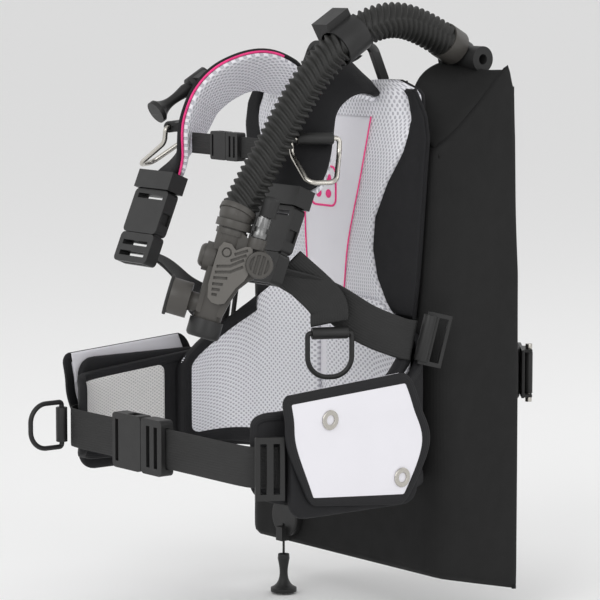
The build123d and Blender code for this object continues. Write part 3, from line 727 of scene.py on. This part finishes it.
def on_pad(x, height, proud):
    """A place on the front face of the back pad."""
    half = pad_half_width(height)
    u = 0.5 + x / half / 2
    v = (height - PAD_LOW) / (PAD_HIGH - PAD_LOW)
    return pad_place(u, v) + Vector((0, -proud, 0))


PAD_EDGE = 0.016
BACKING_EDGE = 0.006
BACKING_BEHIND = 0.0046
BACKING_WIDER = 1.004
CENTRE_WIDTH = 0.08
CENTRE_HEIGHT = 0.26
CENTRE_THICKNESS = 0.0022
CENTRE_PROUD = 0.0072
SEAM_PROUD = 0.0084
SEAM_RADIUS = 0.0007
BADGE_X = -0.002
BADGE_Z = 0.192
BADGE_PROUD = 0.0086


def make_back_pad():
    length = PAD_HIGH - PAD_LOW
    piece = stuffed(pad_place, PAD_CLOTH_WIDTH, length, PAD_THICKNESS, rows=90, columns=26, edge=PAD_EDGE,
                    boxy=0.5)
    dress(piece, "back_pad_mesh", WHITE_MESH, replaces=["back_pad"])

    def rear_place(u, v):
        return pad_place(0.5 + (u - 0.5) * BACKING_WIDER, v) + Vector((0, BACKING_BEHIND, 0))

    backing = stuffed(rear_place, PAD_CLOTH_WIDTH, length, PAD_THICKNESS / 2 - 0.00025, rows=90,
                      columns=26, edge=BACKING_EDGE, boxy=0.4)
    dress(backing, "back_pad_backing", BLACK_CLOTH)

    seam_right = smooth_route(SEAM_RIGHT)
    seam_left = smooth_route(SEAM_LEFT)

    def centre_place(u, v):
        left, right = seam_left(1 - v), seam_right(1 - v)
        x = left.x + (right.x - left.x) * u
        height = left.z + (right.z - left.z) * u
        return on_pad(x, height, CENTRE_PROUD)

    centre = stuffed(centre_place, CENTRE_WIDTH, CENTRE_HEIGHT, CENTRE_THICKNESS, rows=70, columns=12,
                     edge=0.003, boxy=0.4)
    dress(centre, "back_pad_centre", WHITE_CLOTH)
    for name, seam in (("right_seam", seam_right), ("left_seam", seam_left)):
        points = []
        for step in range(81):
            spot = seam(step / 80)
            points.append(on_pad(spot.x, spot.z, SEAM_PROUD))
        dress(tube(points, SEAM_RADIUS, 8), f"back_pad_{name}", PINK)
    make_badge(on_pad(BADGE_X, BADGE_Z, BADGE_PROUD))


BADGE_HALF = 0.019
BADGE_CORNER = 0.007
DOT_RADIUS = 0.0042
DOT_FLATNESS = 0.22
DOT_SPACING = 0.0075           # of a dot from the badge's centre, each way


def make_badge(centre):
    """A plain sewn badge: a square outline with round corners and four dots."""
    edge = rim(2 * BADGE_HALF, 2 * BADGE_HALF, BADGE_CORNER)
    points = []
    for step in range(60):
        x, z = edge(step / 60)[:2]
        points.append(centre + Vector((x - BADGE_HALF, 0, z - BADGE_HALF)))
    dress(tube(points, 0.0010, 8, closed=True), "badge_outline", PINK)
    for number, (x, z) in enumerate([(-1, -1), (1, -1), (-1, 1), (1, 1)]):
        deselect()
        bpy.ops.mesh.primitive_uv_sphere_add(segments=20, ring_count=10, radius=DOT_RADIUS)
        dot = bpy.context.object
        bpy.ops.object.mode_set(mode="EDIT")
        bpy.ops.mesh.select_all(action="SELECT")
        bpy.ops.transform.resize(value=(1, DOT_FLATNESS, 1))
        bpy.ops.transform.translate(value=centre + Vector((x * DOT_SPACING, 0, z * DOT_SPACING)))
        bpy.ops.object.mode_set(mode="OBJECT")
        bpy.ops.object.shade_smooth()
        dress(dot, f"badge_dot_{number}", PINK)


# ---------------------------------------------------------------- side panels and yoke

PANEL_LOW = 0.073
PANEL_HIGH = 0.290
PANEL_DEPTH = -0.116
# Height, and how far out the side panel reaches there
PANEL_OUTER = [
    (PANEL_LOW, 0.121), (0.112, 0.127), (0.150, 0.131), (0.205, 0.136), (0.245, 0.140), (0.266, 0.136),
    (PANEL_HIGH, 0.120),
]
PANEL_WIDTH = 0.05
PANEL_THICKNESS = 0.0085
PANEL_UNDER_PAD = 0.004
PANEL_LEAST = 0.003
PANEL_PIPING = 0.0019


def make_side_panels():
    def place(u, v):
        height = PANEL_LOW + (PANEL_HIGH - PANEL_LOW) * v
        inner = pad_half_width(height) - PANEL_UNDER_PAD
        outer = max(between(height, PANEL_OUTER), inner + PANEL_LEAST)
        return Vector((inner + (outer - inner) * u, PANEL_DEPTH, height))

    for side, name in ((1, "left"), (-1, "right")):
        def sided(u, v, side=side):
            spot = place(u if side > 0 else 1 - u, v)
            return spot if side > 0 else mirrored(spot)

        panel = stuffed(sided, PANEL_WIDTH, PANEL_HIGH - PANEL_LOW, PANEL_THICKNESS, rows=60, columns=12,
                        edge=0.008)
        dress(panel, f"{name}_side_pad", BLACK_CLOTH, replaces=["side_panels"])
        edge = [place(1.0, step / 60) for step in range(61)]
        if side < 0:
            edge = [mirrored(point) for point in edge]
        dress(tube(edge, PANEL_PIPING, 8), f"{name}_side_piping", TAPE)


YOKE_WIDTH = 0.196
YOKE_LOW = 0.246
YOKE_HIGH = 0.297
YOKE_DEPTH = -0.1062
YOKE_SAG = 0.010
YOKE_CLOTH_HEIGHT = 0.05
YOKE_THICKNESS = 0.011


def make_yoke():
    def place(u, v):
        x = (u - 0.5) * YOKE_WIDTH
        sag = YOKE_SAG * math.cos(math.pi * x / YOKE_WIDTH)
        height = YOKE_LOW + (YOKE_HIGH - sag - YOKE_LOW) * v
        return Vector((x, YOKE_DEPTH, height))

    piece = stuffed(place, YOKE_WIDTH, YOKE_CLOTH_HEIGHT, YOKE_THICKNESS, rows=20, columns=30, edge=0.008)
    dress(piece, "yoke_cloth", BLACK_CLOTH, replaces=["yoke"])


# ---------------------------------------------------------------- shoulder straps

STRAP_WIDTH = 0.050
LAYER_OFFSET = 0.0033          # of each of a strap's two layers from its middle
STRAP_STATIONS = [
    (mm(58, -118, 288), Vector((0.35, 0.60, 0.70))),
    (mm(66, -155, 302), Vector((0.75, 0.10, 0.65))),
    (mm(74, -188, 294), Vector((0.86, -0.15, 0.45))),
    (mm(82, -210, 275), Vector((0.90, -0.32, 0.30))),
    (mm(89, -221, 247), Vector((0.86, -0.48, 0.12))),
    (mm(95, -231, 218), Vector((0.60, -0.75, 0.20))),
    (mm(99, -249, 194), Vector((0.10, -0.90, 0.42))),
]
OUTER_THICKNESS = 0.0062
STRAP_LINING_THICKNESS = 0.0066
STRAP_CORNER = 0.020
STRAP_EDGE = 0.006
STRAP_PIPING = 0.0012


def make_shoulder_straps():
    """Each strap is a black outer pad over a mesh lining, piped in pink along its front edge."""
    for side, name in ((1, "left"), (-1, "right")):
        stations = STRAP_STATIONS
        if side < 0:
            stations = [(mirrored(spot), mirrored(outward)) for spot, outward in STRAP_STATIONS]
        middle = strap_surface(stations, STRAP_WIDTH)
        facing = -1 if normal_of(middle, 0.5, 0.5).dot(stations[3][1]) < 0 else 1

        def layer(depth):
            def place(u, v):
                return middle(u, v) + normal_of(middle, u, v) * facing * depth
            return place

        outer = stuffed(layer(LAYER_OFFSET), STRAP_WIDTH, middle.length, OUTER_THICKNESS, rows=90,
                        columns=14, corner=STRAP_CORNER, edge=STRAP_EDGE, boxy=0.45)
        dress(outer, f"{name}_strap_outer", BLACK_CLOTH, replaces=[f"{name}_shoulder_strap"])
        lining = stuffed(layer(-LAYER_OFFSET), STRAP_WIDTH, middle.length, STRAP_LINING_THICKNESS,
                         rows=90, columns=14, corner=STRAP_CORNER, edge=STRAP_EDGE, boxy=0.45)
        dress(lining, f"{name}_strap_lining", WHITE_MESH)
        front = 0.0 if middle(0.0, 0.6).y < middle(1.0, 0.6).y else 1.0
        points = [middle(front, step / 80) for step in range(12, 78)]
        dress(tube(points, STRAP_PIPING, 8), f"{name}_strap_piping", PINK)


# ---------------------------------------------------------------- waist

CUMMERBUND_WIDTH = 0.105
CUMMERBUND_ROUTE = [
    mm(100, -117, 0), mm(125, -119, 0), mm(146, -131, 0), mm(157, -160, 0), mm(158, -215, 0),
    mm(158, -270, 0), mm(156, -298, 0), mm(149, -313, 0), mm(135, -320, 0),
]
LINING_START = 0.52            # shares of the cummerbund's length that the lining covers
LINING_SHARE = 0.44


def waist_height(depth):
    """Lowest and highest points of the cummerbund at a depth."""
    low = between(depth, [(-0.330, -0.070), (-0.300, -0.079), (-0.200, -0.083), (-0.110, -0.079)])
    high = between(depth, [(-0.330, 0.004), (-0.160, 0.019), (-0.138, 0.036), (-0.116, 0.063)])
    return low, high


CUMMERBUND_THICKNESS = 0.0068
CUMMERBUND_CORNER = 0.016
LINING_WIDTH = 0.075
LINING_THICKNESS = 0.004
LINING_FROM_BELOW = 0.010
LINING_SHORTER = 0.017
LINING_PROUD = 0.0036


def make_cummerbunds():
    line = smooth_route(CUMMERBUND_ROUTE)
    for side, name in ((1, "left"), (-1, "right")):
        def place(u, v, side=side):
            spot = line(min(max(v, 0), 1))
            low, high = waist_height(spot.y)
            share = u if side > 0 else 1 - u
            spot = Vector((spot.x, spot.y, low + (high - low) * share))
            return spot if side > 0 else mirrored(spot)

        panel = stuffed(place, CUMMERBUND_WIDTH, line.length, CUMMERBUND_THICKNESS, rows=90, columns=20,
                        corner=CUMMERBUND_CORNER, edge=0.006, boxy=0.4)
        dress(panel, f"{name}_cummerbund_panel", BLACK_CLOTH, replaces=[f"{name}_cummerbund"])
        tape = bound_edge(place, CUMMERBUND_WIDTH, line.length, corner=0.018, band=0.011, thickness=0.0082)
        dress(tape, f"{name}_cummerbund_binding", TAPE)

        def lining_place(u, v, side=side):
            along = LINING_START + LINING_SHARE * v
            spot = line(along)
            low, high = waist_height(spot.y)
            share = u if side > 0 else 1 - u
            inward = normal_of(lambda a, b: Vector((*line(min(b, 1)).xy, a)), 0.5, along)
            spot = Vector((spot.x, spot.y, low + LINING_FROM_BELOW + (high - low - LINING_SHORTER) * share))
            toward = Vector((-inward.x, -inward.y, 0)) if inward.x > 0 else inward
            spot += Vector((toward.x, toward.y, 0)) * LINING_PROUD
            return spot if side > 0 else mirrored(spot)

        lining = stuffed(lining_place, LINING_WIDTH, LINING_SHARE * line.length, LINING_THICKNESS, rows=60,
                         columns=16, corner=0.008, edge=0.003)
        dress(lining, f"{name}_cummerbund_lining", GREY_MESH)
        make_lumbar_pad(side, name)


LUMBAR_WIDTH = 0.13
LUMBAR_LOW = -0.074
LUMBAR_ROUTE = [
    mm(6, -129, 0), mm(50, -129, 0), mm(90, -129, 0), mm(118, -131, 0), mm(138, -141, 0),
    mm(147, -160, 0), mm(149.5, -178, 0), mm(150, -196, 0),
]
LUMBAR_TOP = [(0.0, 0.092), (0.40, 0.088), (0.62, 0.062), (0.76, 0.043), (0.90, 0.022), (1.0, 0.012)]
LUMBAR_THICKNESS = 0.011
LUMBAR_CORNER = 0.022
LUMBAR_EDGE = 0.012
# The tape leaves out the end that runs under the back pad's centre
TAPED_LEFT = (0.36, 0.93)
TAPED_RIGHT = (0.25, 0.82)


def make_lumbar_pad(side, name):
    """Mesh cushion that wraps from the small of the back on to the cummerbund."""
    line = smooth_route(LUMBAR_ROUTE)

    def place(u, v):
        spot = line(min(max(v, 0), 1))
        high = between(v, LUMBAR_TOP)
        share = u if side > 0 else 1 - u
        spot = Vector((spot.x, spot.y, LUMBAR_LOW + (high - LUMBAR_LOW) * share))
        return spot if side > 0 else mirrored(spot)

    cushion = stuffed(place, LUMBAR_WIDTH, line.length, LUMBAR_THICKNESS, rows=70, columns=20,
                      corner=LUMBAR_CORNER, edge=LUMBAR_EDGE, boxy=0.55)
    dress(cushion, f"{name}_lumbar_mesh", WHITE_MESH)
    first, last = TAPED_LEFT if side > 0 else TAPED_RIGHT
    tape = bound_edge(place, LUMBAR_WIDTH, line.length, corner=0.024, band=0.016, thickness=0.0120,
                      first=first, last=last)
    dress(tape, f"{name}_lumbar_binding", TAPE)


FLAP_WIDTH = 0.150
FLAP_HEIGHT = 0.105
FLAP_OUT = 0.1762              # how far out the flap's cloth lies
FLAP_FRONT = [mm(0, -317, 24), mm(0, -313, 2), mm(0, -309, -26), mm(0, -285, -79)]
FLAP_REAR = [mm(0, -170, 34), mm(0, -156, 2), mm(0, -144, -36), mm(0, -174, -90)]
POUCH_WIDTH = 0.150
POUCH_HEIGHT = 0.112
POUCH_CORNER = Vector((0.1682, -0.303, -0.092))      # front lower corner of the pouch
FLAP_THICKNESS = 0.0024
FLAP_ROUNDING = 0.009
FLAP_WAVE = 0.0005
FACING_WIDTH = 0.132
FACING_HEIGHT = 0.030
FACING_THICKNESS = 0.0012
FACING_BEHIND = 0.0022
POUCH_THICKNESS = 0.0115
POUCH_ROUNDING = 0.018


def make_pockets():
    """Pouch, with a bound flap over it that turns on its top edge."""
    for side, name in ((1, "left"), (-1, "right")):
        def sided(spot, side=side):
            return spot if side > 0 else mirrored(spot)

        front = smooth_route(FLAP_FRONT)
        rear = smooth_route(FLAP_REAR)

        def flap_place(u, v, side=side):
            share = u if side < 0 else 1 - u
            low, high = front(1 - v), rear(1 - v)
            spot = low.lerp(high, share)
            spot.x = FLAP_OUT + FLAP_WAVE * math.sin(3 * math.pi * v)
            return sided(spot)

        flap = stuffed(flap_place, FLAP_WIDTH, FLAP_HEIGHT, FLAP_THICKNESS, rows=50, columns=30,
                       corner=FLAP_ROUNDING, edge=0.002, boxy=0.4)
        dress(flap, f"{name}_flap_cloth", WHITE_CLOTH, f"{name}_flap",
              replaces=[f"{name}_flap"])
        tape = bound_edge(flap_place, FLAP_WIDTH, FLAP_HEIGHT, corner=0.010, band=0.0095, thickness=0.0036)
        dress(tape, f"{name}_flap_binding", TAPE, f"{name}_flap")

        def turned_edge(u, v, flap_place=flap_place, side=side):
            spot = flap_place(0.06 + 0.88 * u, 0.72 + 0.285 * v)
            spot.x -= side * FACING_BEHIND
            return spot

        facing = stuffed(turned_edge, FACING_WIDTH, FACING_HEIGHT, FACING_THICKNESS, rows=20, columns=20,
                         edge=0.001, boxy=0.4)
        dress(facing, f"{name}_flap_facing", WHITE_CLOTH, f"{name}_flap")

        def pouch_place(u, v, side=side):
            share = u if side < 0 else 1 - u
            return sided(POUCH_CORNER + Vector((0, POUCH_WIDTH * share, POUCH_HEIGHT * v)))

        pouch = stuffed(pouch_place, POUCH_WIDTH, POUCH_HEIGHT, POUCH_THICKNESS, rows=40, columns=30,
                        corner=POUCH_ROUNDING, edge=0.006, boxy=0.4)
        dress(pouch, f"{name}_pocket_pouch", BLACK_CLOTH, replaces=[f"{name}_pocket"])


# ---------------------------------------------------------------- webbing

def flat_strap(name, stations, width, thickness, replaces=(), body="vest", rows=60):
    surface = strap_surface(stations, width)
    piece = stuffed(surface, width, surface.length, thickness, rows=rows, columns=8, edge=thickness,
                    boxy=0.25)
    return dress(piece, name, WEBBING, body, replaces)


BELT_WIDTH = 0.038
BELT_THICKNESS = 0.0022
BELT_Y = -330
BELT_Z = -43
CHEST_WIDTH = 0.020
CHEST_THICKNESS = 0.0020
CHEST_Y = -232
CHEST_Z = 234
LOWER_WEBBING = [
    (mm(101, -267, 125), Vector((0.30, -0.30, -0.90))),
    (mm(118, -225, 104), Vector((0.80, -0.35, -0.30))),
    (mm(135, -190, 77), Vector((0.90, -0.35, 0.00))),
    (mm(146, -158, 62), Vector((0.90, -0.35, 0.10))),
    (mm(151, -141.5, 57.5), Vector((0.90, -0.35, 0.10))),
]
RING_WEBBING = [
    (mm(111, -261, 134), Vector((0.85, -0.40, -0.30))),
    (mm(128, -229, 99), Vector((0.90, -0.42, -0.10))),
    (mm(128, -224, 78), Vector((0.90, -0.42, 0.00))),
]


def make_webbing():
    ahead = Vector((0, -1, 0))
    belt_left = [(mm(x, BELT_Y, BELT_Z), ahead) for x in (15, 60, 130)]
    belt_left.append((mm(150, -324, BELT_Z), Vector((0.5, -0.87, 0))))
    belt_left.append((mm(162, -307, BELT_Z), Vector((0.85, -0.5, 0))))
    flat_strap("waist_webbing_left", belt_left, BELT_WIDTH, BELT_THICKNESS, replaces=["waist_webbing"])
    belt_right = [
        (mm(-162, -307, BELT_Z), Vector((-0.85, -0.5, 0))),
        (mm(-150, -324, BELT_Z), Vector((-0.5, -0.87, 0))),
        (mm(-130, BELT_Y, BELT_Z), ahead),
        (mm(-62, BELT_Y, BELT_Z), ahead),
    ]
    flat_strap("waist_webbing_right", belt_right, BELT_WIDTH, BELT_THICKNESS)

    chest_left = [(mm(x, CHEST_Y, CHEST_Z), ahead) for x in (3.4, 40, 75)]
    chest_right = [(mm(x, CHEST_Y, CHEST_Z), ahead) for x in (-75, -58, -40)]
    flat_strap("chest_webbing_left", chest_left, CHEST_WIDTH, CHEST_THICKNESS, replaces=["chest_webbing"])
    flat_strap("chest_webbing_right", chest_right, CHEST_WIDTH, CHEST_THICKNESS)

    flat_strap("lower_webbing_left", LOWER_WEBBING, BELT_WIDTH, BELT_THICKNESS, replaces=["lower_webbing"])
    lower_right = [(mirrored(spot), mirrored(outward)) for spot, outward in LOWER_WEBBING]
    flat_strap("lower_webbing_right", lower_right, BELT_WIDTH, BELT_THICKNESS)
    flat_strap("ring_tail_webbing", RING_WEBBING, 0.036, BELT_THICKNESS, replaces=["ring_webbing"])


# ---------------------------------------------------------------- studio

FLOOR_GAP = 0.002              # between the lowest point and the floor
SKY_STRENGTH = 0.78
LIGHT_AIM = mm(-84, -93, 70)
# Name, place, size in metres and power in watts
LIGHTS = [
    ("key", mm(900, -2300, 1500), 1.6, 22),
    ("side", mm(2600, -300, 900), 1.8, 14),
    ("rim", mm(600, 2000, 1700), 1.6, 10),
    ("front", mm(-1900, -1700, 900), 1.8, 5),
]
CAMERA_PLACE = mm(2419.2, -2048.7, 459.5)
CAMERA_AIM = mm(-83.7, -93.2, 69.5)
LENS = 192
SENSOR = 36


def make_studio():
    """Pale floor, soft lights and the camera."""
    lowest = cad_box[0][2]
    deselect()
    bpy.ops.mesh.primitive_plane_add(size=80, location=(0, 0, lowest - FLOOR_GAP))
    floor = bpy.context.object
    floor.name = "floor"
    finish = Finish("pale_floor", (0.9, 0.9, 0.9), 0.9)
    floor.data.materials.append(finish.material)

    world = bpy.data.worlds.new("studio")
    world.use_nodes = True
    world.node_tree.nodes["Background"].inputs["Color"].default_value = (1, 1, 1, 1)
    world.node_tree.nodes["Background"].inputs["Strength"].default_value = SKY_STRENGTH
    bpy.context.scene.world = world

    for name, place, size, power in LIGHTS:
        light = bpy.data.lights.new(name, "AREA")
        light.energy = power
        light.size = size
        holder = bpy.data.objects.new(name, light)
        holder.location = place
        holder.rotation_euler = (LIGHT_AIM - place).to_track_quat("-Z", "Y").to_euler()
        bpy.context.scene.collection.objects.link(holder)

    camera = bpy.data.cameras.new("camera")
    camera.sensor_width = SENSOR
    camera.lens = LENS
    holder = bpy.data.objects.new("camera", camera)
    holder.location = CAMERA_PLACE
    holder.rotation_euler = (CAMERA_AIM - holder.location).to_track_quat("-Z", "Y").to_euler()
    bpy.context.scene.collection.objects.link(holder)
    bpy.context.scene.camera = holder
    bpy.context.scene.view_settings.view_transform = "Standard"


finish_cad_nodes()
make_studio()
make_hose()
make_air_cell()
make_cell_shoulders()
make_back_pad()
make_side_panels()
make_yoke()
make_shoulder_straps()
make_cummerbunds()
make_pockets()
make_webbing()
